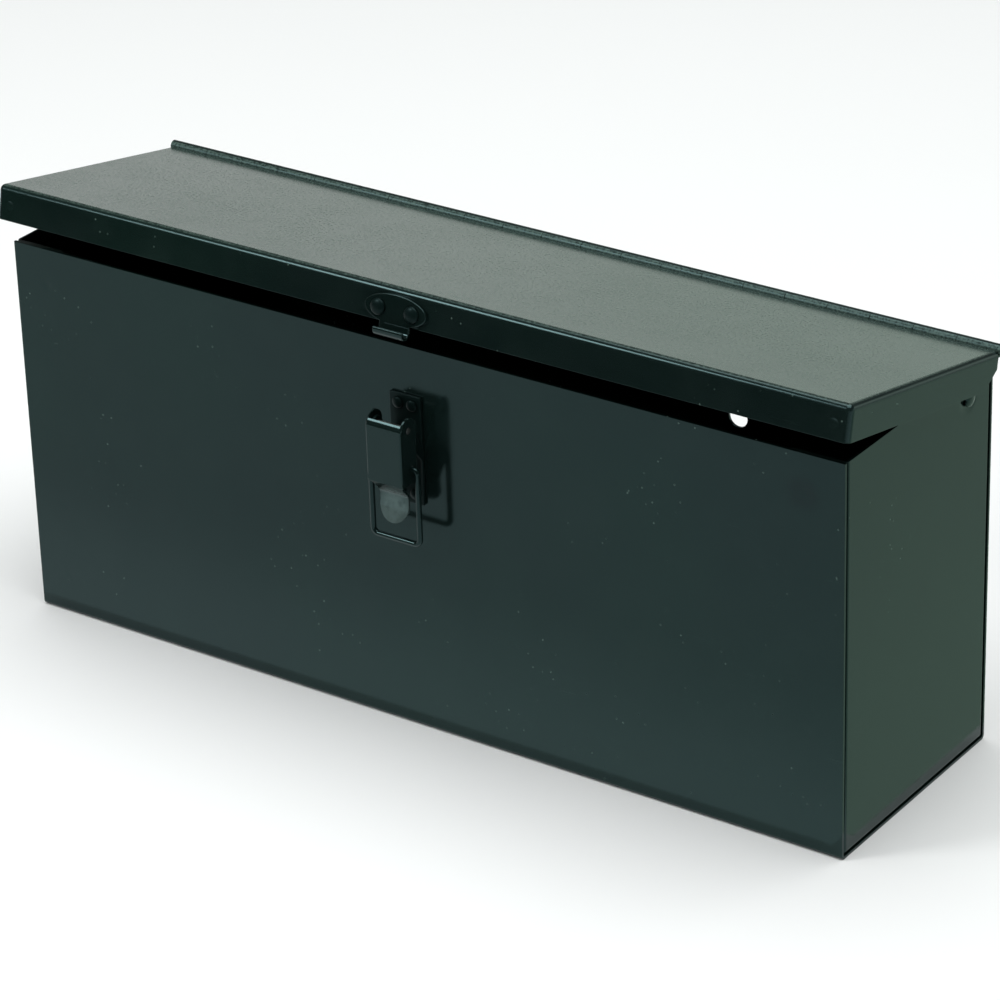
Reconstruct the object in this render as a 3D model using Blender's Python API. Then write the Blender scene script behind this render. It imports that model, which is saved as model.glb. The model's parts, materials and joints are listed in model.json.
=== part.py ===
"""Truck tool box of folded sheet steel with a piano-hinged lid and a wire-bail draw latch.

Frame: metres, origin at the centre of the body's bottom face, front towards -Y, +Z up.
The lid stands ajar by LID_AJAR_DEG; its parts are drawn closed, about the hinge axis, and turned there.
"""

from math import atan2, asin, cos, hypot, pi, radians, sin

import bmesh
import bpy
from mathutils import Vector

# Body, in metres
LENGTH = 0.500
DEPTH = 0.140
HEIGHT = 0.2135
SHEET = 0.0015
GAP = 0.0003
BEND = 0.0025
END_FLANGE = 0.030
HOLE_RADIUS = 0.0055
HOLE_X = 0.1055
HOLE_HEIGHTS = (0.062, 0.144)

# Lid and its hinge
LID_AJAR_DEG = 11.5
LID_LENGTH = 0.510
LID_FRONT = 0.1457
LID_FLANGE = 0.0185
LID_BEND = 0.0032
LID_CORNER_CUT = (0.011, 0.0095)
AXIS_LIFT = 0.0033
BARREL_RADIUS = 0.003
BORE_RADIUS = 0.0018
PIN_RADIUS = 0.0015
KNUCKLES = 21
KNUCKLE_GAP = 0.0004
LEAF_SHEET = 0.0012
LEAF_WIDTH = 0.022

# Draw latch: Y and Z of the lever's pivot and of the bail's pivot
LEVER_PIVOT = (-0.0845, 0.176)
BAIL_PIVOT = (-0.083, 0.1545)
BASE_HALF_WIDTH = 0.0093
BASE_Z = (0.129, 0.188)
EAR_RADIUS = 0.0038
EAR_FOOT_Z = (0.154, 0.162)
LEVER_HALF_WIDTH = 0.0110
LEVER_SHEET = 0.0013
LEVER_WEB_Y = -0.091
LEVER_TOP_RADIUS = 0.0065
LEVER_WRAP_DEG = 140.0
LEVER_WALL_Y = -0.0788
LEVER_FOOT_Z = 0.1468
TONGUE_HALF_WIDTH = 0.0086
TONGUE_Y = -0.0836
TONGUE_TOP_Z = 0.1382
TONGUE_FOOT_Z = 0.1235
TONGUE_RUN = 0.017
TONGUE_FLARE = 0.0045
LEVER_KNEE = 0.001
LATCH_PIN_RADIUS = 0.0017
LATCH_PIN_HALF = 0.0112
WIRE_RADIUS = 0.0015
BAIL_HALF_WIDTH = 0.0143
BAIL_DROP = 0.0413
BAIL_BEND = 0.0032
BAIL_END_BEND = 0.0024
BAIL_END_X = 0.0094

# Strike on the lid, drawn with the lid closed
STRIKE_HALF_LENGTH = 0.0183
STRIKE_HALF_HEIGHT = 0.0078
STRIKE_DROP = 0.0112
HOOK_HALF_WIDTH = 0.0089
HOOK_FOOT_Z = 0.1923
HOOK_LIP_Z = 0.1968
HOOK_INNER = 0.0040

# Rivets: shank radius, head radius, head height
LATCH_RIVET = (0.0016, 0.0030, 0.0014)
LATCH_RIVET_PLACES = {"top": (0.0042, 0.183), "bottom": (0.0045, 0.1345)}
STRIKE_RIVET = (0.0019, 0.0042, 0.0019)
STRIKE_RIVET_X = 0.010
END_RIVET = (0.0026, 0.0045, 0.0018)
END_RIVET_YZ = (0.0463, 0.2000)
TAIL_HEIGHT = 0.0012

AXIS_Y = DEPTH / 2
AXIS_Z = HEIGHT + AXIS_LIFT
FRONT = -DEPTH / 2
ROUND_STEPS = 20

# Helpers reach this far past what they cut or trim
REACH = 0.03
HOLE_REACH = 0.01
TRIM_Y = (-0.12, -0.06)

PAINT = (0.006, 0.011, 0.010, 1.0)


def clear_scene():
    for old in list(bpy.data.objects):
        bpy.data.objects.remove(old, do_unlink=True)


def paint(name, roughness=0.25, metallic=0.0, color=PAINT):
    """A Principled material of its own for one sub-part."""
    material = bpy.data.materials.new(name)
    material.use_nodes = True
    shader = material.node_tree.nodes["Principled BSDF"]
    shader.inputs["Base Color"].default_value = color
    shader.inputs["Roughness"].default_value = roughness
    shader.inputs["Metallic"].default_value = metallic
    return material


def empty_at(name, y, z, parent=None):
    """An empty on a joint's axis; a child's place is given in world coordinates and made local here."""
    empty = bpy.data.objects.new(name, None)
    bpy.context.collection.objects.link(empty)
    origin = Vector((0, 0, 0))
    if parent:
        empty.parent = parent
        origin = parent.location
    empty.location = Vector((0, y, z)) - origin
    return empty


def object_from(name, bm, parent=None, shift=(0, 0, 0)):
    """Turns a bmesh into an object, its points moved by shift to be relative to its parent."""
    bmesh.ops.translate(bm, verts=bm.verts, vec=shift)
    bmesh.ops.recalc_face_normals(bm, faces=bm.faces)
    mesh = bpy.data.meshes.new(name)
    bm.to_mesh(mesh)
    bm.free()
    obj = bpy.data.objects.new(name, mesh)
    bpy.context.collection.objects.link(obj)
    obj.parent = parent
    return obj


def finish(obj, roughness=0.25, smooth_deg=35):
    """Gives a finished piece its material and its shading."""
    obj.data.materials.append(paint(obj.name, roughness))
    obj.data.shade_smooth()
    obj.data.set_sharp_from_angle(angle=radians(smooth_deg))
    return obj


def prism(outline, axis, low, high):
    """A closed outline of two coordinates extruded along an axis, 0 for X and 1 for Y."""
    bm = bmesh.new()
    rest = [k for k in range(3) if k != axis]
    corners = []
    for point in outline:
        place = [0.0, 0.0, 0.0]
        place[axis] = low
        place[rest[0]], place[rest[1]] = point
        corners.append(bm.verts.new(place))
    face = bm.faces.new(corners)
    moved = bmesh.ops.extrude_face_region(bm, geom=[face])["geom"]
    step = [0.0, 0.0, 0.0]
    step[axis] = high - low
    bmesh.ops.translate(bm, verts=[v for v in moved if isinstance(v, bmesh.types.BMVert)], vec=step)
    return bm


def box(x, y, z):
    """A box from its three (low, high) ranges."""
    return prism([(y[0], z[0]), (y[1], z[0]), (y[1], z[1]), (y[0], z[1])], 0, *x)


def arc(centre, radius, start_deg, end_deg, steps):
    """Points on a circle from one angle to another, both included."""
    angles = (radians(start_deg + (end_deg - start_deg) * k / steps) for k in range(steps + 1))
    return [(centre[0] + radius * cos(a), centre[1] + radius * sin(a)) for a in angles]


def cylinder(axis, centre, radius, low, high, steps=ROUND_STEPS):
    """A cylinder along X or Y, centred on the other two coordinates."""
    return prism(arc(centre, radius, 0, 360 - 360 / steps, steps - 1), axis, low, high)


def bevel_edges(bm, chosen, radius, steps=4):
    """Rounds the edges that chosen() accepts, given an edge's middle and its direction."""
    edges = []
    for edge in bm.edges:
        a, b = (v.co for v in edge.verts)
        if chosen((a + b) / 2, (b - a).normalized()):
            edges.append(edge)
    bmesh.ops.bevel(bm, geom=edges, offset=radius, segments=steps, profile=0.5, affect="EDGES")
    return bm


def cut(obj, cutters, operation="DIFFERENCE"):
    """Adds one Boolean modifier per helper object, and hides the helper."""
    for helper in cutters:
        helper.hide_render = True
        helper.display_type = "WIRE"
        modifier = obj.modifiers.new(helper.name, "BOOLEAN")
        modifier.operation = operation
        modifier.solver = "EXACT"
        modifier.object = helper
    return obj


def join_pieces(pieces):
    """One bmesh that holds several closed shapes side by side."""
    whole = bmesh.new()
    for piece in pieces:
        mesh = bpy.data.meshes.new("piece")
        piece.to_mesh(mesh)
        piece.free()
        whole.from_mesh(mesh)
        bpy.data.meshes.remove(mesh)
    return whole


def folded_strip(line, thickness):
    """The closed outline of a sheet whose outer face follows line; the sheet lies on the left of the line."""
    inner = []
    for k, point in enumerate(line):
        before = line[max(k - 1, 0)]
        after = line[min(k + 1, len(line) - 1)]
        first = (point[0] - before[0], point[1] - before[1])
        second = (after[0] - point[0], after[1] - point[1])
        if k == 0:
            first = second
        if k == len(line) - 1:
            second = first
        a = atan2(first[1], first[0])
        turn = (atan2(second[1], second[0]) - a + pi) % (2 * pi) - pi
        middle = a + turn / 2 + pi / 2
        reach = thickness / cos(turn / 2)
        inner.append((point[0] + reach * cos(middle), point[1] + reach * sin(middle)))
    return list(line) + inner[::-1]


def lathe(profile, steps=16):
    """A closed turned shape about X from (x, radius) points, the first and last on the axis."""
    bm = bmesh.new()
    line = [bm.verts.new((x, radius, 0)) for x, radius in profile]
    edges = [bm.edges.new(pair) for pair in zip(line, line[1:])]
    bmesh.ops.spin(bm, geom=line + edges, cent=(0, 0, 0), axis=(1, 0, 0), angle=2 * pi, steps=steps)
    bmesh.ops.remove_doubles(bm, verts=bm.verts, dist=1e-6)
    return bm


def rivet_profile(shank, head, height, grip, tail):
    """A rivet along X: domed head above 0, grip below it, and a low turned-over tail."""
    base = 0.35 * height
    dome = [(base + (height - base) * sin(a), head * cos(a)) for a in (0.0, 0.45, 0.9)]
    tail_rim = [(-grip, tail), (-grip - 0.6 * TAIL_HEIGHT, tail)]
    top = [(height, 0.0)]
    foot = [(-grip - TAIL_HEIGHT, 0.6 * tail), (-grip - TAIL_HEIGHT, 0.0)]
    return top + dome[::-1] + [(0.0, head), (0.0, shank), (-grip, shank)] + tail_rim + foot


def rivet(name, sizes, seat, facing, grip, parent=None, shift=(0, 0, 0)):
    """A rivet whose head sits at seat and faces -Y, +X or -X."""
    shank, head, height = sizes
    bm = lathe(rivet_profile(shank, head, height, grip, 1.55 * shank))
    turn = {"-Y": -pi / 2, "+X": 0.0, "-X": pi}[facing]
    for vert in bm.verts:
        x, y, z = vert.co
        vert.co = (x * cos(turn) - y * sin(turn), x * sin(turn) + y * cos(turn), z)
    bmesh.ops.translate(bm, verts=bm.verts, vec=seat)
    return finish(object_from(name, bm, parent, shift), 0.3)


def latch_rivet_places():
    """Name, X and Z of the four rivets through the latch base."""
    for row, (x, z) in LATCH_RIVET_PLACES.items():
        for side, sign in (("left", -1), ("right", 1)):
            yield f"latch_rivet_{row}_{side}", sign * x, z


def rivet_cutters(name, places, shank, low, high, parent=None, shift=(0, 0, 0)):
    """Round cutters along Y, one GAP wider than the shank, as one helper object."""
    holes = [cylinder(1, place, shank + GAP, low, high, 14) for place in places]
    return object_from(name, join_pieces(holes), parent, shift)


def make_body_wrap():
    """Front, bottom and rear as one folded sheet, open at both ends and at the top."""
    half = DEPTH / 2
    line = [(-half, HEIGHT)]
    line += arc((-half + BEND, BEND), BEND, 180, 270, 5)
    line += arc((half - BEND, BEND), BEND, 270, 360, 5)
    line += [(half, HEIGHT)]
    outline = folded_strip(line, SHEET)
    wrap = object_from("body_wrap", prism(outline, 0, -LENGTH / 2, LENGTH / 2))
    holes = [
        cylinder(1, (sign * HOLE_X, z), HOLE_RADIUS, half - 2 * SHEET, half + SHEET)
        for sign in (-1, 1)
        for z in HOLE_HEIGHTS
    ]
    mounting = object_from("mounting_hole_cutter", join_pieces(holes))
    places = [(x, z) for _, x, z in latch_rivet_places()]
    riveting = rivet_cutters("latch_hole_cutter", places, LATCH_RIVET[0], FRONT - SHEET, FRONT + 2 * SHEET)
    return finish(cut(wrap, [mounting, riveting]))


def make_end_panel(side, sign):
    """A pan inside the wrap, its flanges turned inwards along the front, the bottom and the rear."""
    half = DEPTH / 2 - SHEET - GAP
    low = SHEET + GAP
    outer_x = LENGTH / 2

    def rounded(x, y, z, radius):
        outer = x[1]

        def is_corner(middle, direction):
            at_face = abs(middle.x - outer) < 1e-6 and middle.z < HEIGHT - 1e-3
            along_x = abs(direction.x) > 0.9 and middle.z < 0.05
            return at_face or along_x

        return bevel_edges(box(x, y, z), is_corner, radius, 3)

    shell = rounded((outer_x - END_FLANGE, outer_x), (-half, half), (low, HEIGHT), BEND)
    room = rounded(
        (outer_x - 2 * END_FLANGE, outer_x - SHEET),
        (-half + SHEET, half - SHEET),
        (low + SHEET, HEIGHT + SHEET),
        BEND - SHEET,
    )
    leaf_foot = AXIS_Z - LEAF_WIDTH - GAP
    notch = box(
        (outer_x - 2 * END_FLANGE, outer_x - SHEET - BEND),
        (half - 2 * SHEET, half + SHEET),
        (leaf_foot, HEIGHT + SHEET),
    )
    hole = cylinder(0, END_RIVET_YZ, END_RIVET[0] + GAP, outer_x - 3 * SHEET, outer_x + SHEET, 16)
    shapes = {"shell": shell, "room": room, "notch": notch, "hole": hole}
    for shape in shapes.values():
        bmesh.ops.scale(shape, verts=shape.verts, vec=(sign, 1, 1))
    panel = object_from(f"end_panel_{side}", shell)
    cutters = [object_from(f"end_{side}_{key}_cutter", shapes[key]) for key in ("room", "notch", "hole")]
    finish(cut(panel, cutters))
    facing = "+X" if sign > 0 else "-X"
    seat = (sign * (outer_x + GAP), *END_RIVET_YZ)
    rivet(f"end_rivet_{side}", END_RIVET, seat, facing, SHEET + 2 * GAP)


def strike_rivet_places():
    """X and Z of the strike's rivets, with the lid closed."""
    return [(sign * STRIKE_RIVET_X, AXIS_Z - STRIKE_DROP) for sign in (-1, 1)]


def make_lid(axis, shift):
    """A pan with a front flange and two side flanges, open along the hinge, drawn closed."""
    half = LID_LENGTH / 2
    front = AXIS_Y - LID_FRONT
    rear = AXIS_Y - BARREL_RADIUS - GAP

    def rounded(x, y, z, radius):
        top = z[1]

        def is_corner(middle, direction):
            at_rear = abs(middle.y - y[1]) < 1e-6
            at_top = abs(middle.z - top) < 1e-6 and not at_rear
            upright = abs(direction.z) > 0.9 and not at_rear
            return at_top or upright

        return bevel_edges(box(x, y, z), is_corner, radius, 4)

    shell = rounded((-half, half), (front, rear), (AXIS_Z - LID_FLANGE, AXIS_Z), LID_BEND)
    room = rounded(
        (-half + SHEET, half - SHEET),
        (front + SHEET, rear + REACH),
        (AXIS_Z - 2 * LID_FLANGE, AXIS_Z - SHEET),
        LID_BEND - SHEET,
    )
    run, rise = LID_CORNER_CUT
    foot = AXIS_Z - LID_FLANGE
    corner = [(rear - run, foot), (rear, foot + rise), (rear + run, foot + rise), (rear + run, foot - run)]
    corner_cut = prism(corner + [(rear - run, foot - run)], 0, -LID_LENGTH, LID_LENGTH)
    lid = object_from("lid", shell, axis, shift)
    cutters = [
        object_from("lid_room_cutter", room, axis, shift),
        object_from("lid_corner_cutter", corner_cut, axis, shift),
        rivet_cutters(
            "strike_hole_cutter", strike_rivet_places(), STRIKE_RIVET[0],
            front - SHEET, front + 2 * SHEET, axis, shift,
        ),
    ]
    return finish(cut(lid, cutters))


def knuckle_ranges(parity, spread):
    """X ranges of every other knuckle, made wider at both ends by spread."""
    pitch = LID_LENGTH / KNUCKLES
    for k in range(parity, KNUCKLES, 2):
        low = -LID_LENGTH / 2 + k * pitch
        yield low - spread, low + pitch + spread


def make_leaf(name, half_length, upright, cut_parity, parent, shift):
    """One hinge leaf and its knuckles: a barrel along the axis, a strip tangent to it, and notches."""
    inner, outer = BARREL_RADIUS - LEAF_SHEET, BARREL_RADIUS
    notch_at = BARREL_RADIUS + GAP
    if upright:
        strip = box(
            (-half_length, half_length),
            (AXIS_Y - outer, AXIS_Y - inner),
            (AXIS_Z - LEAF_WIDTH, AXIS_Z),
        )
        notch_y, notch_z = (-2 * notch_at, 2 * notch_at), (-notch_at, 2 * notch_at)
    else:
        strip = box(
            (-half_length, half_length),
            (AXIS_Y - LEAF_WIDTH, AXIS_Y),
            (AXIS_Z - outer, AXIS_Z - inner),
        )
        notch_y, notch_z = (-notch_at, 2 * notch_at), (-2 * notch_at, 2 * notch_at)
    barrel = cylinder(0, (AXIS_Y, AXIS_Z), BARREL_RADIUS, -LID_LENGTH / 2, LID_LENGTH / 2, 16)
    bore = cylinder(0, (AXIS_Y, AXIS_Z), BORE_RADIUS, -LID_LENGTH, LID_LENGTH, 12)
    notches = [
        box(x, (AXIS_Y + notch_y[0], AXIS_Y + notch_y[1]), (AXIS_Z + notch_z[0], AXIS_Z + notch_z[1]))
        for x in knuckle_ranges(cut_parity, KNUCKLE_GAP / 2)
    ]
    leaf = object_from(name, strip, parent, shift)
    cut(leaf, [object_from(f"{name}_barrel", barrel, parent, shift)], "UNION")
    helpers = {"bore": bore, "notch": join_pieces(notches)}
    cut(leaf, [object_from(f"{name}_{key}_cutter", bm, parent, shift) for key, bm in helpers.items()])
    return finish(leaf, 0.35)


def make_hinge(axis, shift):
    """Piano hinge: body leaf inside the rear panel, lid leaf under the lid, one long pin."""
    body_half = LENGTH / 2 - SHEET - BEND - 2 * GAP
    lid_half = LID_LENGTH / 2 - LID_BEND - GAP
    make_leaf("hinge_leaf_body", body_half, True, 0, None, (0, 0, 0))
    make_leaf("hinge_leaf_lid", lid_half, False, 1, axis, shift)
    pin_half = LID_LENGTH / 2 - GAP
    pin = cylinder(0, (AXIS_Y, AXIS_Z), PIN_RADIUS, -pin_half, pin_half, 12)
    finish(object_from("hinge_pin", pin, axis, shift), 0.35)


def ear_outline():
    """Side outline of the latch base: a flat plate with an ear that reaches up and out to the pivot."""
    back = FRONT - GAP
    face = back - SHEET
    low, high = BASE_Z
    y, z = LEVER_PIVOT

    def tangent(foot_z, side):
        reach = hypot(face - y, foot_z - z)
        toward = atan2(foot_z - z, face - y)
        lean = asin(EAR_RADIUS / reach)
        return (toward - side * lean + side * pi / 2) * 180 / pi

    upper = tangent(EAR_FOOT_Z[1], 1)
    lower = tangent(EAR_FOOT_Z[0], -1)
    tip = arc(LEVER_PIVOT, EAR_RADIUS, upper, lower + 360, 9)
    return [(back, low), (back, high), (face, high), (face, EAR_FOOT_Z[1])] + tip + [
        (face, EAR_FOOT_Z[0]),
        (face, low),
    ]


def make_latch_base():
    """Riveted plate with two ears inside the lever."""
    base = object_from("latch_base", prism(ear_outline(), 0, -BASE_HALF_WIDTH, BASE_HALF_WIDTH))
    inside = BASE_HALF_WIDTH - SHEET
    face = FRONT - GAP - SHEET
    channel = box((-inside, inside), (face - REACH, face), (BASE_Z[0] - REACH, BASE_Z[1] + REACH))
    bore = cylinder(0, LEVER_PIVOT, LATCH_PIN_RADIUS + GAP, -REACH, REACH, 14)
    places = [(x, z) for _, x, z in latch_rivet_places()]
    helpers = [
        object_from("latch_base_channel_cutter", channel),
        object_from("latch_base_bore_cutter", bore),
        rivet_cutters("latch_base_rivet_cutter", places, LATCH_RIVET[0], face - HOLE_REACH, face + HOLE_REACH),
    ]
    finish(cut(base, helpers))
    for name, x, z in latch_rivet_places():
        rivet(name, LATCH_RIVET, (x, face - GAP, z), "-Y", 2 * SHEET + 3 * GAP)


def lever_line():
    """Outer face of the lever's sheet, from its rolled top down the web and back into the tongue."""
    line = arc(LEVER_PIVOT, LEVER_TOP_RADIUS, LEVER_WRAP_DEG, 180, 6)
    line += [(LEVER_WEB_Y, LEVER_FOOT_Z + LEVER_KNEE)]
    line += [(LEVER_WEB_Y + 0.8 * LEVER_KNEE, LEVER_FOOT_Z - 0.5 * LEVER_KNEE)]
    line += [(TONGUE_Y - 0.6 * LEVER_KNEE, TONGUE_TOP_Z + LEVER_KNEE)]
    foot = TONGUE_TOP_Z - LEVER_KNEE
    line += [(TONGUE_Y - TONGUE_FLARE * t * t, foot - t * TONGUE_RUN) for t in (0.0, 0.35, 0.7, 1.0)]
    return line


def lever_front_outline():
    """Front outline of web and tongue, X and Z: the full width above, narrow and round below."""
    w, t = LEVER_HALF_WIDTH, TONGUE_HALF_WIDTH
    top = LEVER_PIVOT[1] + 0.02
    neck = LEVER_FOOT_Z - 0.0025
    centre = TONGUE_FOOT_Z + t
    return [(w, top), (w, LEVER_FOOT_Z), (t, neck)] + arc((0, centre), t, 0, -180, 10) + [
        (-t, neck),
        (-w, LEVER_FOOT_Z),
        (-w, top),
    ]


def lever_wall_outline():
    """Side outline of the lever's walls."""
    y, z = LEVER_PIVOT
    return arc(LEVER_PIVOT, LEVER_TOP_RADIUS, 0, 180, 10) + [
        (LEVER_WEB_Y, LEVER_FOOT_Z),
        (LEVER_WALL_Y - 0.002, LEVER_FOOT_Z),
        (LEVER_WALL_Y, LEVER_FOOT_Z + 0.002),
        (LEVER_WALL_Y, z - 0.008),
    ]


def make_latch_lever(axis, shift):
    """Channel-shaped lever: the web in front, a wall each side, and a finger tongue below."""
    strip = prism(folded_strip(lever_line(), LEVER_SHEET), 0, -REACH, REACH)
    trim = prism(lever_front_outline(), 1, *TRIM_Y)
    inside = LEVER_HALF_WIDTH - LEVER_SHEET
    walls = [
        prism(lever_wall_outline(), 0, low, low + LEVER_SHEET)
        for low in (-LEVER_HALF_WIDTH, inside)
    ]
    lever = object_from("latch_lever", strip, axis, shift)
    cut(lever, [object_from("lever_trim", trim, axis, shift)], "INTERSECT")
    for side, wall in zip(("left", "right"), walls):
        cut(lever, [object_from(f"lever_wall_{side}", wall, axis, shift)], "UNION")
    bores = {
        "pin": cylinder(0, LEVER_PIVOT, LATCH_PIN_RADIUS + GAP, -REACH, REACH, 14),
        "bail": cylinder(0, BAIL_PIVOT, WIRE_RADIUS + GAP, -REACH, REACH, 14),
    }
    cut(lever, [object_from(f"lever_{key}_cutter", bm, axis, shift) for key, bm in bores.items()])
    finish(lever)
    pin = cylinder(0, LEVER_PIVOT, LATCH_PIN_RADIUS, -LATCH_PIN_HALF, LATCH_PIN_HALF, 14)
    finish(object_from("latch_pivot_pin", pin, axis, shift), 0.35)


def bail_path():
    """Centre line of the bail in X and Z, from one inward end down, across and up to the other."""
    w, z = BAIL_HALF_WIDTH, BAIL_PIVOT[1]
    foot = z - BAIL_DROP
    left = [(-BAIL_END_X, z)]
    left += arc((-w + BAIL_END_BEND, z - BAIL_END_BEND), BAIL_END_BEND, 90, 180, 4)
    left += arc((-w + BAIL_BEND, foot + BAIL_BEND), BAIL_BEND, 180, 270, 5)
    return left + [(-x, height) for x, height in reversed(left)]


def make_latch_bail(axis, shift):
    """Wire loop, its ends turned in through the lever's walls."""
    path = bail_path()
    sides = 10
    bm = bmesh.new()
    rings = []
    for k, (x, z) in enumerate(path):
        before, after = path[max(k - 1, 0)], path[min(k + 1, len(path) - 1)]
        along = Vector((after[0] - before[0], 0, after[1] - before[1])).normalized()
        across = Vector((0, 1, 0)).cross(along)
        ring = []
        for j in range(sides):
            a = 2 * pi * j / sides
            offset = across * (WIRE_RADIUS * cos(a)) + Vector((0, WIRE_RADIUS * sin(a), 0))
            ring.append(bm.verts.new(Vector((x, BAIL_PIVOT[0], z)) + offset))
        rings.append(ring)
    for first, second in zip(rings, rings[1:]):
        for j in range(sides):
            n = (j + 1) % sides
            bm.faces.new((first[j], first[n], second[n], second[j]))
    bm.faces.new(rings[0])
    bm.faces.new(rings[-1])
    return finish(object_from("latch_bail", bm, axis, shift), 0.3, 50)


def hook_line():
    """Outer (lid side) face of the strike's sheet, from its top down and round into the lip."""
    back = AXIS_Y - LID_FRONT - GAP
    top = AXIS_Z - STRIKE_DROP + STRIKE_HALF_HEIGHT
    radius = HOOK_INNER / 2 + SHEET
    centre = (back - radius, HOOK_FOOT_Z + radius)
    bend = arc(centre, radius, 0, -180, 8)
    return [(back, top)] + bend + [(back - 2 * radius, HOOK_LIP_Z)]


def strike_outline():
    """Front outline of the strike: an oval plate with a straight neck below it."""
    centre_z = AXIS_Z - STRIKE_DROP
    shoulder = asin(HOOK_HALF_WIDTH / STRIKE_HALF_LENGTH)
    steps = 22
    oval = []
    for k in range(steps + 1):
        a = -pi / 2 + shoulder + (2 * pi - 2 * shoulder) * k / steps
        oval.append((STRIKE_HALF_LENGTH * cos(a), centre_z + STRIKE_HALF_HEIGHT * sin(a)))
    foot = HOOK_FOOT_Z - SHEET
    return oval + [(-HOOK_HALF_WIDTH, foot), (HOOK_HALF_WIDTH, foot)]


def make_strike(axis, shift):
    """Strike plate on the lid's front flange, its neck folded up into a hook for the bail."""
    line = hook_line()
    outline = folded_strip(line[::-1], SHEET)
    strike = object_from("strike_plate", prism(outline, 0, -REACH, REACH), axis, shift)
    trim = prism(strike_outline(), 1, *TRIM_Y)
    cut(strike, [object_from("strike_trim", trim, axis, shift)], "INTERSECT")
    back = AXIS_Y - LID_FRONT - GAP
    holes = rivet_cutters(
        "strike_rivet_cutter", strike_rivet_places(), STRIKE_RIVET[0],
        back - HOLE_REACH, back + HOLE_REACH, axis, shift,
    )
    finish(cut(strike, [holes]))
    for side, (x, z) in zip(("left", "right"), strike_rivet_places()):
        seat = (x, back - SHEET - GAP, z)
        rivet(f"strike_rivet_{side}", STRIKE_RIVET, seat, "-Y", 2 * SHEET + 3 * GAP, axis, shift)


def main():
    clear_scene()
    make_body_wrap()
    for side, sign in (("left", -1), ("right", 1)):
        make_end_panel(side, sign)
    lid_axis = empty_at("lid_hinge_axis", AXIS_Y, AXIS_Z)
    lid_shift = (0, -AXIS_Y, -AXIS_Z)
    make_lid(lid_axis, lid_shift)
    make_hinge(lid_axis, lid_shift)
    make_strike(lid_axis, lid_shift)
    lid_axis.rotation_euler.x = -radians(LID_AJAR_DEG)
    make_latch_base()
    lever_axis = empty_at("latch_lever_axis", *LEVER_PIVOT)
    make_latch_lever(lever_axis, (0, -LEVER_PIVOT[0], -LEVER_PIVOT[1]))
    bail_axis = empty_at("latch_bail_axis", *BAIL_PIVOT, lever_axis)
    make_latch_bail(bail_axis, (0, -BAIL_PIVOT[0], -BAIL_PIVOT[1]))


main()
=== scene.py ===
"""Truck tool box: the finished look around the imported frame.

Every CAD node is replaced by a finer mesh built here from the same dimensions, in metres, in the
frame's coordinates. The lid's pieces are drawn closed and then turned about the hinge axis by the
angle at which the lid rests ajar.
"""

import json
from math import asin, atan2, cos, hypot, pi, radians, sin

import bmesh
import bpy
from mathutils import Matrix, Vector


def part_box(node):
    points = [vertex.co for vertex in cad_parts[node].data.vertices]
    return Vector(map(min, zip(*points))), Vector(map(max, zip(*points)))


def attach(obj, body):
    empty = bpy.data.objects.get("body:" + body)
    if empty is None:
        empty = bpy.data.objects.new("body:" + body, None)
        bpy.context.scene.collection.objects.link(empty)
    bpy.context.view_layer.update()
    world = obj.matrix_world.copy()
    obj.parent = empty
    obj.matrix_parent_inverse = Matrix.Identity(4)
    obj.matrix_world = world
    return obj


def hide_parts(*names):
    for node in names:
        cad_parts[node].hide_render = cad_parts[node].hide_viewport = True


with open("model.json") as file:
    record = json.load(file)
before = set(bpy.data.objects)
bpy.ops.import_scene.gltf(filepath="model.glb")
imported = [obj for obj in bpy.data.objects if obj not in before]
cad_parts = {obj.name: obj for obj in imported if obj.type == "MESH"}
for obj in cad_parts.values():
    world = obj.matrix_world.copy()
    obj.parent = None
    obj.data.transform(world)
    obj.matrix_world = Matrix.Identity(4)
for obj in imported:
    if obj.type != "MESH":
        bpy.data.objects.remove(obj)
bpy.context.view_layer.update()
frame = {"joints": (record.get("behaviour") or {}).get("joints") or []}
JOINTS = {joint["name"]: joint for joint in frame["joints"]}
HINGE = JOINTS["lid_hinge"]["pos_m"]
LEVER_PIVOT = tuple(JOINTS["latch_lever_pivot"]["pos_m"][1:])
BAIL_PIVOT = tuple(JOINTS["latch_bail_pivot"]["pos_m"][1:])
LID_AJAR = -radians(JOINTS["lid_hinge"]["range_deg"][0])
AXIS_Y, AXIS_Z = HINGE[1:]

# Body
BODY_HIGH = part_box("body_wrap")[1]
HALF_LENGTH = BODY_HIGH.x
HALF_DEPTH = BODY_HIGH.y
HEIGHT = BODY_HIGH.z
FRONT = -HALF_DEPTH
SHEET = 0.0015
GAP = 0.0003
BEND = 0.0025
END_FLANGE = 0.030
HOLE_RADIUS = 0.0055
HOLE_X = 0.1055
HOLE_HEIGHTS = (0.062, 0.144)
WELD_X = 0.2296
WELD_HEIGHTS = (0.024, 0.066, 0.108, 0.150, 0.193)
WELD_DENT_RADIUS = 0.0034
WELD_DENT_DEPTHS = (0.00006, 0.00006, 0.00006, 0.00006, 0.00018)
SHEET_EDGE = 0.00025

# Lid and hinge
LID_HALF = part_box("lid")[1].x
LID_FRONT = 0.1457
LID_FLANGE = 0.0185
LID_BEND = 0.0032
LID_CORNER_CUT = (0.011, 0.0095)
LID_WELD_INSET = 0.0085
LID_WELD_DENT = (0.0026, 0.0002)
BARREL_RADIUS = 0.003
PIN_RADIUS = 0.0015
KNUCKLES = 21
KNUCKLE_GAP = 0.0002
LEAF_SHEET = 0.0012
LEAF_WIDTH = 0.022
LEAF_EDGE = 0.00015
CURL_ROOT = 0.002
CURL_DEG = 312.0
HINGE_PIN_PEEN = 0.0004

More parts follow.
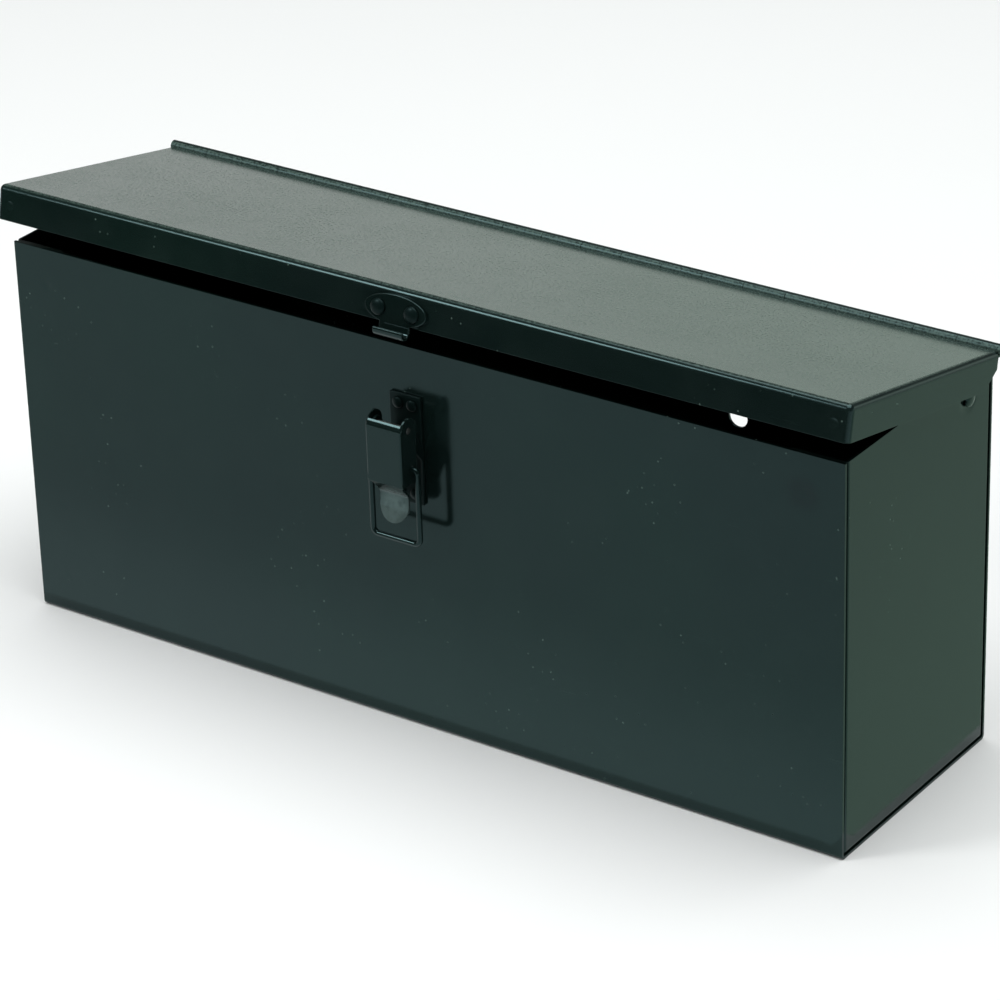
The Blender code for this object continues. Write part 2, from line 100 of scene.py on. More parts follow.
# Latch
BASE_HALF_WIDTH = 0.0093
BASE_Z = (0.129, 0.188)
EAR_RADIUS = 0.0038
EAR_FOOT_Z = (0.154, 0.162)
LEVER_HALF_WIDTH = 0.0110
LEVER_SHEET = 0.0013
LEVER_WEB_Y = -0.091
LEVER_TOP_RADIUS = 0.0065
LEVER_WRAP_DEG = 140.0
LEVER_WALL_Y = -0.0788
LEVER_FOOT_Z = 0.1468
LEVER_EDGE = 0.0013
LEVER_WALL_CORNER = 0.002
LEVER_WALL_TOP = 0.008
LEVER_MOUTH = (0.020, 0.012)
TONGUE_HALF_WIDTH = 0.0086
TONGUE_KNEE = 0.001
TONGUE_SHOULDER = 0.0004
TONGUE_NECK = 0.0025
TONGUE_Y = -0.0836
TONGUE_TOP_Z = 0.1382
TONGUE_FOOT_Z = 0.1235
TONGUE_RUN = 0.017
TONGUE_FLARE = 0.0045
LATCH_PIN_RADIUS = 0.0017
LATCH_PIN_HALF = 0.0112
LATCH_PIN_PEEN = 0.0005
WIRE_RADIUS = 0.0015
BAIL_HALF_WIDTH = 0.0143
BAIL_DROP = 0.0413
BAIL_BEND = 0.0032
BAIL_END_BEND = 0.0024
BAIL_END_X = 0.0094
LATCH_EDGE = 0.0003

# Strike
STRIKE_HALF_LENGTH = 0.0183
STRIKE_HALF_HEIGHT = 0.0078
STRIKE_DROP = 0.0112
HOOK_HALF_WIDTH = 0.0089
HOOK_FOOT_Z = 0.1923
HOOK_LIP_Z = 0.1968
HOOK_INNER = 0.0040
STRIKE_EDGE = 0.0004

# Rivets: shank radius, head radius, head height
LATCH_RIVET = (0.0016, 0.0030, 0.0014)
LATCH_RIVET_PLACES = {"top": (0.0042, 0.183), "bottom": (0.0045, 0.1345)}
STRIKE_RIVET = (0.0019, 0.0042, 0.0019)
STRIKE_RIVET_X = 0.010
END_RIVET = (0.0026, 0.0045, 0.0018)
END_RIVET_YZ = (0.0463, 0.2000)
END_RIVET_DENT = (0.0095, 0.0005)
TAIL_HEIGHT = 0.0012
TAIL_DISH = 0.0002

# How far helper shapes reach past what they cut or trim, and how near counts as touching
REACH = 0.03
HOLE_REACH = 0.01
LENS_RISE = 0.001
TRIM_Y = (-0.12, -0.06)
CLOSE = 1e-6

# Paint
PAINT_BLACK = (0.0021, 0.0066, 0.0060)
PAINT_GREEN = (0.0021, 0.0094, 0.0070)
# Dust colour; on the hinge's forward-looking faces it serves as a painted sheen
DUST_AND_SHEEN = (0.080, 0.122, 0.103)
WORN = (0.045, 0.062, 0.057)
TINT = (0.58, 0.97, 1.0, 1.0)
PAINT_IOR = 1.42
LID_DUST = (2, 0.80, 0.95, 0.48)
# Hinge: painted sheen, the dust colour laid on faces that look forward along -Y
HINGE_PAINTED_SHEEN = (1, -0.25, -0.55, 0.85)
# Tongue: a lighter patch, rubbed paint and a painted sheen where the flared tip catches light
TONGUE_RUB_AND_SHEEN = ((0.0, -0.087, 0.1285), 0.016, 0.7, (0.12, 0.170, 0.165))
# Front panel: painted shade, a near-black spot over the deepest weld dent at the top right
WELD_DENT_PAINTED_SHADE = ((0.2270, -0.0705, 0.1925), 0.012, 0.9, (0.002, 0.003, 0.003))
PIN_STEEL = (0.10, 0.11, 0.105)
RUBBED_STEEL = (0.20, 0.22, 0.21)

# Relief of the surfaces: the sheet's slow waves, the paint's orange peel, grain, and how wide edges wear
WAVE = 0.0001
PEEL = 0.000013
GRAIN = 0.00001
PAINT_WEAR = 0.0006
STEEL_WEAR = 0.0005

# Studio: the backdrop's colours, and where it starts and ends along X, Z and Y of a direction
BACKDROP_LEFT = (1.20, 1.22, 1.18)
BACKDROP_RIGHT = (0.86, 1.00, 0.88)
BACKDROP_SIDE = (-0.42, -0.64)
BACKDROP_TOP = (0.27, 0.16)
BACKDROP_FRONT = (-0.15, 0.25)
ROOM = (0.10, 0.10, 0.10)
PAPER = (0.86, 0.88, 0.877)
FLOOR_HALF = 9.0

# Lights: place, aim, size and power
LIGHTS = {
    "overhead": ((0.3, 0.1, 3.0), (0.1, 0, 0), (3.1, 3.1), 118),
    "key": ((-1.24, -1.55, 1.55), (0, -0.07, 0.18), (0.6, 0.8), 18),
}

# Cards on the floor: corners; a pale one also has a colour, and the Y range and factor by which it brightens
CARD_HEIGHT = 0.002
CLOTH = ((0.006, 0.006, 0.006), (0.010, 0.010, 0.010))
FLAG_FRONT = ((0.9, -1.0), (-0.35, -0.85), (-1.5, -0.72), (-4.5, -1.2), (-4.0, -5.0), (0.9, -5.0))
FLAG_CORNER = ((0.258, -0.078), (0.262, -0.50), (0.80, -0.45), (0.70, 0.0))
CARD_FRONT = ((0.24, -0.078), (0.24, -0.62), (-1.1, -0.62), (-0.9, -0.078))
CARD_END = ((0.256, -0.05), (1.2, -0.05), (1.4, 1.5), (0.256, 1.5))
CARDS = {
    "flag_front": (FLAG_FRONT, None, None),
    "flag_corner": (FLAG_CORNER, None, None),
    "card_front": (CARD_FRONT, (0.70, 0.75, 0.75), (-0.22, -0.08, 1.4)),
    "card_end": (CARD_END, (0.42, 0.58, 0.47), (0.5, 0.0, 1.05)),
}

# Camera
CAMERA_AT = (1.17022, -1.63663, 1.11688)
CAMERA_YAW_PITCH_ROLL = (35.461, 26.844, -1.800)
CAMERA_LENS_MM = 158.27
SENSOR_MM = 36.0


# ---------------------------------------------------------------- shape helpers


def prism(outline, axis, low, high):
    """A closed outline of two coordinates extruded along an axis, 0 for X and 1 for Y."""
    bm = bmesh.new()
    rest = [k for k in range(3) if k != axis]
    corners = []
    for point in outline:
        place = [0.0, 0.0, 0.0]
        place[axis] = low
        place[rest[0]], place[rest[1]] = point
        corners.append(bm.verts.new(place))
    face = bm.faces.new(corners)
    moved = bmesh.ops.extrude_face_region(bm, geom=[face])["geom"]
    step = [0.0, 0.0, 0.0]
    step[axis] = high - low
    bmesh.ops.translate(bm, verts=[v for v in moved if isinstance(v, bmesh.types.BMVert)], vec=step)
    bmesh.ops.recalc_face_normals(bm, faces=bm.faces)
    return bm


def box(x, y, z):
    """A box from its three (low, high) ranges."""
    return prism([(y[0], z[0]), (y[1], z[0]), (y[1], z[1]), (y[0], z[1])], 0, *x)


def arc(centre, radius, start_deg, end_deg, steps):
    """Points on a circle from one angle to another, both included."""
    angles = (radians(start_deg + (end_deg - start_deg) * k / steps) for k in range(steps + 1))
    return [(centre[0] + radius * cos(a), centre[1] + radius * sin(a)) for a in angles]


def cylinder(axis, centre, radius, low, high, steps=40):
    """A cylinder along X or Y, centred on the other two coordinates."""
    return prism(arc(centre, radius, 0, 360 - 360 / steps, steps - 1), axis, low, high)


def bevel_edges(bm, chosen, radius, steps=8):
    """Rounds the edges that chosen() accepts, given an edge's middle and its direction."""
    edges = []
    for edge in bm.edges:
        a, b = (v.co for v in edge.verts)
        if chosen((a + b) / 2, (b - a).normalized()):
            edges.append(edge)
    bmesh.ops.bevel(bm, geom=edges, offset=radius, segments=steps, profile=0.5, affect="EDGES")
    return bm


def folded_strip(line, thickness):
    """The closed outline of a sheet whose outer face follows line; the sheet lies on the left of the line."""
    inner = []
    for k, point in enumerate(line):
        before = line[max(k - 1, 0)]
        after = line[min(k + 1, len(line) - 1)]
        first = (point[0] - before[0], point[1] - before[1])
        second = (after[0] - point[0], after[1] - point[1])
        if k == 0:
            first = second
        if k == len(line) - 1:
            second = first
        a = atan2(first[1], first[0])
        turn = (atan2(second[1], second[0]) - a + pi) % (2 * pi) - pi
        middle = a + turn / 2 + pi / 2
        reach = thickness / cos(turn / 2)
        inner.append((point[0] + reach * cos(middle), point[1] + reach * sin(middle)))
    return list(line) + inner[::-1]


def lathe(profile, steps=36):
    """A closed turned shape about X from (x, radius) points, the first and last on the axis."""
    bm = bmesh.new()
    line = [bm.verts.new((x, radius, 0)) for x, radius in profile]
    edges = [bm.edges.new(pair) for pair in zip(line, line[1:])]
    bmesh.ops.spin(bm, geom=line + edges, cent=(0, 0, 0), axis=(1, 0, 0), angle=2 * pi, steps=steps)
    bmesh.ops.remove_doubles(bm, verts=bm.verts, dist=CLOSE)
    bmesh.ops.recalc_face_normals(bm, faces=bm.faces)
    return bm


def turned_pin(name, centre, end, radius, peen, steps):
    """A pin along X through a (Y, Z) centre, its two ends rounded over."""
    right = [(end - peen * (1 - cos(a)), radius * sin(a)) for a in (0.0, 0.5, 1.0, 1.3, pi / 2)]
    bm = lathe(right + [(-x, r) for x, r in reversed(right)], steps)
    bmesh.ops.translate(bm, verts=bm.verts, vec=(0, *centre))
    return mesh_object(name, bm)


def tube(path, radius, sides):
    """A round wire along a path in the XZ plane, given as (x, y, z) points, with flat ends."""
    bm = bmesh.new()
    rings = []
    for k, point in enumerate(path):
        before, after = path[max(k - 1, 0)], path[min(k + 1, len(path) - 1)]
        along = (Vector(after) - Vector(before)).normalized()
        across = Vector((0, 1, 0)).cross(along)
        ring = []
        for j in range(sides):
            a = 2 * pi * j / sides
            offset = across * (radius * cos(a)) + Vector((0, radius * sin(a), 0))
            ring.append(bm.verts.new(Vector(point) + offset))
        rings.append(ring)
    for first, second in zip(rings, rings[1:]):
        for j in range(sides):
            n = (j + 1) % sides
            bm.faces.new((first[j], first[n], second[n], second[j]))
    bm.faces.new(rings[0])
    bm.faces.new(rings[-1])
    bmesh.ops.recalc_face_normals(bm, faces=bm.faces)
    return bm


def dent(axis, sign, place, surface, radius, depth, steps=28, rings=5):
    """A lens that cuts a shallow round dent: axis and sign say which way the dented face looks."""
    sphere = (radius * radius + depth * depth) / (2 * depth)
    profile = [(-depth, 0.0)]
    for k in range(1, rings + 1):
        r = radius * k / rings
        profile.append((sphere - depth - (sphere * sphere - r * r) ** 0.5, r))
    profile += [(LENS_RISE, radius * 1.02), (LENS_RISE, 0.0)]
    bm = lathe(profile[::-1], steps)
    rest = [k for k in range(3) if k != axis]
    for vert in bm.verts:
        x, y, z = vert.co
        moved = [0.0, 0.0, 0.0]
        moved[axis] = surface + sign * x
        moved[rest[0]] = place[0] + y
        moved[rest[1]] = place[1] + z
        vert.co = moved
    bmesh.ops.recalc_face_normals(bm, faces=bm.faces)
    return bm


def mesh_object(name, bm):
    """A new object that holds bm."""
    mesh = bpy.data.meshes.new(name)
    bm.to_mesh(mesh)
    bm.free()
    obj = bpy.data.objects.new(name, mesh)
    bpy.context.scene.collection.objects.link(obj)
    return obj


def settle(obj):
    """Replaces the object's mesh by what its modifiers make of it."""
    bpy.context.view_layer.update()
    graph = bpy.context.evaluated_depsgraph_get()
    mesh = bpy.data.meshes.new_from_object(obj.evaluated_get(graph))
    obj.modifiers.clear()
    obj.data = mesh


def shaped(name, base, steps):
    """Starts from base and applies (operation, bmesh) steps as exact Booleans."""
    obj = mesh_object(name, base)
    helpers = []
    for operation, bm in steps:
        helper = mesh_object(f"{name}_{len(helpers)}", bm)
        modifier = obj.modifiers.new("step", "BOOLEAN")
        modifier.operation = operation
        modifier.solver = "EXACT"
        modifier.object = helper
        helpers.append(helper)
    settle(obj)
    for helper in helpers:
        bpy.data.objects.remove(helper, do_unlink=True)
    return obj


def break_edges(obj, width, angle_deg=50, steps=2):
    """Takes the sharpness off every cut edge, as shearing and paint do."""
    modifier = obj.modifiers.new("broken_edges", "BEVEL")
    modifier.width = width
    modifier.segments = steps
    modifier.limit_method = "ANGLE"
    modifier.angle_limit = radians(angle_deg)
    modifier.use_clamp_overlap = True
    settle(obj)
    return obj


def smooth(obj, sharp_deg=40):
    """Smooth shading that keeps the large flat faces flat."""
    obj.data.shade_smooth()
    obj.data.set_sharp_from_angle(angle=radians(sharp_deg))
    modifier = obj.modifiers.new("weighted_normal", "WEIGHTED_NORMAL")
    modifier.keep_sharp = True
    modifier.weight = 100
    return obj


def turn_with_lid(obj):
    """Turns a piece drawn with the lid closed to where the lid rests."""
    axis = Vector((0, AXIS_Y, AXIS_Z))
    turn = Matrix.Translation(axis) @ Matrix.Rotation(-LID_AJAR, 4, "X") @ Matrix.Translation(-axis)
    obj.data.transform(turn)
    return obj


def add_piece(obj, body, nodes, material):
    """Gives a piece its material and its body, and hides the CAD nodes that it stands for."""
    obj.data.materials.clear()
    obj.data.materials.append(material)
    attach(obj, body)
    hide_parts(*nodes)
    return obj


# ---------------------------------------------------------------- materials


class Nodes:
    """Short calls for the nodes of one material."""

    def __init__(self, name):
        self.material = bpy.data.materials.new(name)
        self.material.use_nodes = True
        self.tree = self.material.node_tree
        self.shader = self.tree.nodes["Principled BSDF"]
        self.coordinates = self.tree.nodes.new("ShaderNodeTexCoord").outputs
        self.place = self.coordinates["Object"]

    def add(self, kind, inputs=(), **settings):
        node = self.tree.nodes.new(kind)
        for key, value in settings.items():
            setattr(node, key, value)
        for key, value in dict(inputs).items():
            self.put(node.inputs[key], value)
        return node

    def put(self, socket, value):
        if isinstance(value, bpy.types.NodeSocket):
            self.tree.links.new(value, socket)
        else:
            socket.default_value = value

    def stretch(self, scale, rotation=(0, 0, 0)):
        inputs = {"Vector": self.place, "Scale": scale, "Rotation": rotation}
        return self.add("ShaderNodeMapping", inputs).outputs["Vector"]

    def noise(self, scale, detail=2.0, rough=0.5, where=None):
        inputs = {"Vector": where or self.place, "Scale": scale, "Detail": detail, "Roughness": rough}
        return self.add("ShaderNodeTexNoise", inputs).outputs["Fac"]

    def spots(self, scale):
        inputs = {"Vector": self.place, "Scale": scale, "Randomness": 1.0}
        return self.add("ShaderNodeTexVoronoi", inputs, feature="F1").outputs["Distance"]

    def ramp(self, value, low, high, out_low=0.0, out_high=1.0):
        inputs = {"Value": value, "From Min": low, "From Max": high, "To Min": out_low, "To Max": out_high}
        return self.add("ShaderNodeMapRange", inputs, interpolation_type="SMOOTHSTEP").outputs["Result"]

    def math(self, operation, a, b=0.0, clamp=False):
        node = self.add("ShaderNodeMath", operation=operation, use_clamp=clamp)
        self.put(node.inputs[0], a)
        self.put(node.inputs[1], b)
        return node.outputs["Value"]

    def mix(self, factor, a, b):
        node = self.add("ShaderNodeMix", data_type="RGBA")
        self.put(node.inputs["Factor"], factor)
        self.put(node.inputs["A"], (*a, 1.0) if isinstance(a, tuple) else a)
        self.put(node.inputs["B"], (*b, 1.0) if isinstance(b, tuple) else b)
        return node.outputs["Result"]

    def bump(self, height, distance, normal=None):
        inputs = {"Height": height, "Distance": distance}
        if normal:
            inputs["Normal"] = normal
        return self.add("ShaderNodeBump", inputs).outputs["Normal"]

    def facing(self, axis, low, high):
        """How squarely a face looks along an axis, from 0 at low to 1 at high, in the piece's own frame."""
        split = self.add("ShaderNodeSeparateXYZ")
        self.put(split.inputs["Vector"], self.coordinates["Normal"])
        return self.ramp(split.outputs[axis], low, high)

    def edges(self, radius):
        """1 on worn edges and 0 elsewhere: how far a rounded normal leans from the face's own."""
        rounded = self.add("ShaderNodeBevel", {"Radius": radius}, samples=4).outputs["Normal"]
        plain = self.add("ShaderNodeNewGeometry").outputs["Normal"]
        lean = self.add("ShaderNodeVectorMath", operation="DOT_PRODUCT")
        self.put(lean.inputs[0], rounded)
        self.put(lean.inputs[1], plain)
        return self.ramp(lean.outputs["Value"], 0.985, 0.90)


def enamel(name, gloss=0.14, film=0.03, facing_dust_and_sheen=None, wave=WAVE, wear=0.2, spot=None, ior=PAINT_IOR):
    """Black-green stoving enamel with a thin dust film, specks, fine scratches and worn edges.

    film is dust everywhere. A tone on faces that look one way is given as an axis, where it begins, where it
    is full
    and how much: grainy dust on faces that look up, and a painted sheen on the hinge's faces that look
    forward. spot is a place, a radius, an amount and a colour laid there: rubbed paint with a painted sheen
    on the lever's tongue, and painted shade over the front panel's deepest weld dent.
    """
    n = Nodes(name)
    broad = n.noise(6.0, 2.0)
    middle = n.noise(38.0, 4.0, 0.6)
    grain = n.noise(850.0, 2.0)
    base = n.mix(n.ramp(broad, 0.35, 0.65), PAINT_BLACK, PAINT_GREEN)

    dust = n.math("MULTIPLY", n.ramp(middle, 0.30, 0.80, 0.4, 1.0), film)
    sparse = n.ramp(n.noise(23.0, 1.0), 0.55, 0.63)
    specks = n.math("MULTIPLY", n.ramp(n.spots(190.0), 0.11, 0.05), sparse)
    lines = n.noise(1.0, 3.0, 0.6, n.stretch((26.0, 60.0, 900.0), (0.0, radians(57), 0.0)))
    marked = n.ramp(n.noise(4.0, 1.0), 0.52, 0.62)
    scratches = n.math("MULTIPLY", n.math("MULTIPLY", n.ramp(lines, 0.66, 0.78), marked), 0.10)
    dirt_and_sheen = n.math("ADD", n.math("ADD", dust, specks), scratches, clamp=True)
    # Faces that look one way take the dust colour: real dust where they look up, painted sheen where the
    # hinge's faces look forward
    if facing_dust_and_sheen:
        facing_dust_and_sheen_mask = n.math("MULTIPLY", n.facing(*facing_dust_and_sheen[:3]), facing_dust_and_sheen[3])
        dirt_and_sheen = n.math("ADD", dirt_and_sheen, n.math("MULTIPLY", facing_dust_and_sheen_mask, n.ramp(grain, 0.30, 0.72, 0.1, 1.0)), clamp=True)
    base = n.mix(dirt_and_sheen, base, DUST_AND_SHEEN)
    # A spot lays a colour at one place: rubbed paint with painted sheen on the lever's tongue, painted shade
    # over the front panel's deepest weld dent
    if spot:
        place, radius, amount, colour = spot
        away = n.add("ShaderNodeVectorMath", operation="DISTANCE")
        n.put(away.inputs[0], n.place)
        n.put(away.inputs[1], place)
        near = n.ramp(away.outputs["Value"], radius, radius * 0.4, 0.0, amount)
        mark = n.math("MULTIPLY", near, n.ramp(n.noise(210.0, 3.0), 0.25, 0.62, 0.55, 1.0))
        base = n.mix(mark, base, colour)
        dirt_and_sheen = n.math("ADD", dirt_and_sheen, n.math("MULTIPLY", mark, 0.5), clamp=True)

    worn = n.math("MULTIPLY", n.edges(PAINT_WEAR), n.ramp(n.noise(160.0, 4.0), 0.40, 0.68, 0.0, wear))
    base = n.mix(worn, base, WORN)
    n.put(n.shader.inputs["Base Color"], base)

    rough = n.ramp(broad, 0.25, 0.75, gloss * 0.92, gloss * 1.08)
    rough = n.math("ADD", rough, n.math("MULTIPLY", dirt_and_sheen, 0.25))
    rough = n.math("ADD", rough, n.math("MULTIPLY", n.ramp(middle, 0.3, 0.7), 0.015), clamp=True)
    n.put(n.shader.inputs["Roughness"], rough)

    normal = n.bump(n.noise(5.5, 1.0), wave)
    normal = n.bump(n.noise(330.0, 2.0), PEEL, normal)
    normal = n.bump(grain, GRAIN, normal)
    n.put(n.shader.inputs["Normal"], normal)
    n.shader.inputs["Specular Tint"].default_value = TINT
    n.shader.inputs["IOR"].default_value = ior
    return n.material


def bare_steel(name, base, metallic, gloss):
    """Steel that shows through thin or rubbed paint, with drawing lines and spots."""
    n = Nodes(name)
    patches = n.ramp(n.noise(140.0, 4.0), 0.44, 0.62)
    colour = n.mix(patches, tuple(0.5 * c for c in base), base)
    colour = n.mix(n.math("MULTIPLY", n.edges(STEEL_WEAR), 0.5), colour, RUBBED_STEEL)
    n.put(n.shader.inputs["Base Color"], colour)
    lines = n.noise(1.0, 3.0, 0.6, n.stretch((900.0, 900.0, 60.0)))
    n.put(n.shader.inputs["Roughness"], n.ramp(lines, 0.2, 0.8, gloss * 0.8, gloss * 1.3))
    n.put(n.shader.inputs["Normal"], n.bump(lines, GRAIN))
    n.shader.inputs["Metallic"].default_value = metallic
    return n.material


def plain_floor(name, colour):
    """Matt pale paper with a barely visible tooth."""
    n = Nodes(name)
    tooth = n.noise(3.0, 2.0)
    darker = tuple(0.985 * c for c in colour)
    n.put(n.shader.inputs["Base Color"], n.mix(tooth, darker, colour))
    n.shader.inputs["Roughness"].default_value = 0.9
    n.shader.inputs["Specular IOR Level"].default_value = 0.1
    return n.material


# ---------------------------------------------------------------- body


def latch_rivet_places():
    """Name, X and Z of the four rivets through the latch base."""
    for row, (x, z) in LATCH_RIVET_PLACES.items():
        for side, sign in (("left", -1), ("right", 1)):
            yield f"latch_rivet_{row}_{side}", sign * x, z


def rivet_holes(places, shank, low, high):
    """Steps that drill round holes along Y from low to high."""
    return [("DIFFERENCE", cylinder(1, place, shank + GAP, low, high, 28)) for place in places]


def make_wrap(material):
    """Front, bottom and rear as one folded sheet with spot-weld dents."""
    line = [(-HALF_DEPTH, HEIGHT)]
    line += arc((-HALF_DEPTH + BEND, BEND), BEND, 180, 270, 10)
    line += arc((HALF_DEPTH - BEND, BEND), BEND, 270, 360, 10)
    line += [(HALF_DEPTH, HEIGHT)]
    sheet = prism(folded_strip(line, SHEET), 0, -HALF_LENGTH, HALF_LENGTH)
    through = (HALF_DEPTH - 2 * SHEET, HALF_DEPTH + SHEET)
    steps = [
        ("DIFFERENCE", cylinder(1, (sign * HOLE_X, z), HOLE_RADIUS, *through))
        for sign in (-1, 1)
        for z in HOLE_HEIGHTS
    ]
    places = [(x, z) for _, x, z in latch_rivet_places()]
    steps += rivet_holes(places, LATCH_RIVET[0], FRONT - SHEET, FRONT + 2 * SHEET)
    for sign in (-1, 1):
        for z, depth in zip(WELD_HEIGHTS, WELD_DENT_DEPTHS):
            for side in (-1, 1):
                lens = dent(1, side, (sign * WELD_X, z), side * HALF_DEPTH, WELD_DENT_RADIUS, depth)
                steps.append(("DIFFERENCE", lens))
    wrap = shaped("wrap_sheet", sheet, steps)
    break_edges(wrap, SHEET_EDGE)
    return add_piece(smooth(wrap), "box", ["body_wrap"], material)


def make_end(side, sign, material, hardware):
    """A pan with inward flanges, and the rivet high at its rear."""
    half = HALF_DEPTH - SHEET - GAP
    low = SHEET + GAP

    def rounded(x, y, z, radius):
        outer = x[1]

        def is_corner(middle, direction):
            at_face = abs(middle.x - outer) < CLOSE and middle.z < HEIGHT - SHEET
            along_x = abs(direction.x) > 0.9 and middle.z < HEIGHT / 2
            return at_face or along_x

        return bevel_edges(box(x, y, z), is_corner, radius)

    shell = rounded((HALF_LENGTH - END_FLANGE, HALF_LENGTH), (-half, half), (low, HEIGHT), BEND)
    room = rounded(
        (HALF_LENGTH - 2 * END_FLANGE, HALF_LENGTH - SHEET),
        (-half + SHEET, half - SHEET),
        (low + SHEET, HEIGHT + SHEET),
        BEND - SHEET,
    )
    notch = box(
        (HALF_LENGTH - 2 * END_FLANGE, HALF_LENGTH - SHEET - BEND),
        (half - 2 * SHEET, half + SHEET),
        (AXIS_Z - LEAF_WIDTH - GAP, HEIGHT + SHEET),
    )
    hole = cylinder(0, END_RIVET_YZ, END_RIVET[0] + GAP, HALF_LENGTH - 3 * SHEET, HALF_LENGTH + SHEET)
    pulled = dent(0, 1, END_RIVET_YZ, HALF_LENGTH, *END_RIVET_DENT)
    shapes = [shell, room, notch, pulled, hole]
    for shape in shapes:
        bmesh.ops.scale(shape, verts=shape.verts, vec=(sign, 1, 1))
        bmesh.ops.recalc_face_normals(shape, faces=shape.faces)
    panel = shaped(f"end_pan_{side}", shell, [("DIFFERENCE", bm) for bm in shapes[1:]])
    break_edges(panel, SHEET_EDGE)
    add_piece(smooth(panel), "box", [f"end_panel_{side}"], material)
    facing = "+X" if sign > 0 else "-X"
    seat = (sign * (HALF_LENGTH + GAP), *END_RIVET_YZ)
    make_rivet(f"end_rivet_{side}", END_RIVET, seat, facing, SHEET + 2 * GAP, "box", hardware)


def rivet_profile(shank, head, height, grip, tail):
    """A rivet along X: domed head above 0, grip below it, and a low turned-over tail."""
    rim = 0.22 * height
    angles = [radians(a) for a in (88, 76, 64, 52, 40, 28, 16, 4)]
    dome = [(rim + (height - rim) * sin(a), head * cos(a)) for a in angles]
    under = [(0.1 * rim, head * 0.985), (0.0, head * 0.94), (0.0, shank), (-grip, shank)]
    foot = -grip - TAIL_HEIGHT
    tail_side = [(-grip, 0.97 * tail), (-grip - 0.3 * TAIL_HEIGHT, tail)]
    tail_side += [(-grip - 0.7 * TAIL_HEIGHT, 0.92 * tail)]
    return [(height, 0.0)] + dome + under + tail_side + [(foot, 0.6 * tail), (foot + TAIL_DISH, 0.0)]


def make_rivet(node, sizes, seat, facing, grip, body, material, on_lid=False):
    """A rivet whose head sits at seat and faces -Y, +X or -X."""
    shank, head, height = sizes
    bm = lathe(rivet_profile(shank, head, height, grip, 1.55 * shank))
    turn = {"-Y": -pi / 2, "+X": 0.0, "-X": pi}[facing]
    bmesh.ops.rotate(bm, verts=bm.verts, cent=(0, 0, 0), matrix=Matrix.Rotation(turn, 3, "Z"))
    bmesh.ops.translate(bm, verts=bm.verts, vec=seat)
    obj = mesh_object(f"{node}_turned", bm)
    if on_lid:
        turn_with_lid(obj)
    return add_piece(smooth(obj), body, [node], material)


# ---------------------------------------------------------------- lid and hinge


def strike_rivet_places():
    """X and Z of the strike's rivets, with the lid closed."""
    return [(sign * STRIKE_RIVET_X, AXIS_Z - STRIKE_DROP) for sign in (-1, 1)]


def make_lid(material):
    """A pan with a front flange and two side flanges, open along the hinge."""
    front = AXIS_Y - LID_FRONT
    rear = AXIS_Y - BARREL_RADIUS - GAP

    def rounded(x, y, z, radius):
        top = z[1]

        def is_corner(middle, direction):
            at_rear = abs(middle.y - y[1]) < CLOSE
            at_top = abs(middle.z - top) < CLOSE and not at_rear
            upright = abs(direction.z) > 0.9 and not at_rear
            return at_top or upright

        return bevel_edges(box(x, y, z), is_corner, radius)

    shell = rounded((-LID_HALF, LID_HALF), (front, rear), (AXIS_Z - LID_FLANGE, AXIS_Z), LID_BEND)
    room = rounded(
        (-LID_HALF + SHEET, LID_HALF - SHEET),
        (front + SHEET, rear + REACH),
        (AXIS_Z - 2 * LID_FLANGE, AXIS_Z - SHEET),
        LID_BEND - SHEET,
    )
    run, rise = LID_CORNER_CUT
    foot = AXIS_Z - LID_FLANGE
    corner = [(rear - run, foot), (rear, foot + rise), (rear + run, foot + rise), (rear + run, foot - run)]
    corner_cut = prism(corner + [(rear - run, foot - run)], 0, -2 * LID_HALF, 2 * LID_HALF)
    steps = [("DIFFERENCE", room), ("DIFFERENCE", corner_cut)]
    steps += rivet_holes(strike_rivet_places(), STRIKE_RIVET[0], front - SHEET, front + 2 * SHEET)
    for sign in (-1, 1):
        weld = (sign * (LID_HALF - LID_WELD_INSET), foot + LID_WELD_INSET)
        steps.append(("DIFFERENCE", dent(1, -1, weld, front, *LID_WELD_DENT)))
    lid = shaped("lid_sheet", shell, steps)
    break_edges(lid, SHEET_EDGE)
    turn_with_lid(lid)
    return add_piece(smooth(lid), "lid", ["lid"], material)


def knuckle_ranges(parity, spread):
    """X ranges of every other knuckle, made wider at both ends by spread."""
    pitch = 2 * LID_HALF / KNUCKLES
    for k in range(parity, KNUCKLES, 2):
        low = -LID_HALF + k * pitch
        yield low - spread, low + pitch + spread


def curl_outline(upright):
    """Section of one rolled knuckle: a strip that leaves the leaf and curls almost round the pin."""
    outer, inner = BARREL_RADIUS, BARREL_RADIUS - LEAF_SHEET
    root = BARREL_RADIUS + GAP + CURL_ROOT
    start = 180.0 if upright else 270.0
    turn = -CURL_DEG if upright else CURL_DEG
    outside = arc((0, 0), outer, start, start + turn, 40)
    inside = arc((0, 0), inner, start + turn, start, 32)
    if upright:
        section = [(-outer, -root)] + outside + inside + [(-inner, -root)]
    else:
        section = [(-root, -outer)] + outside + inside + [(-root, -inner)]
    return [(AXIS_Y + y, AXIS_Z + z) for y, z in section]


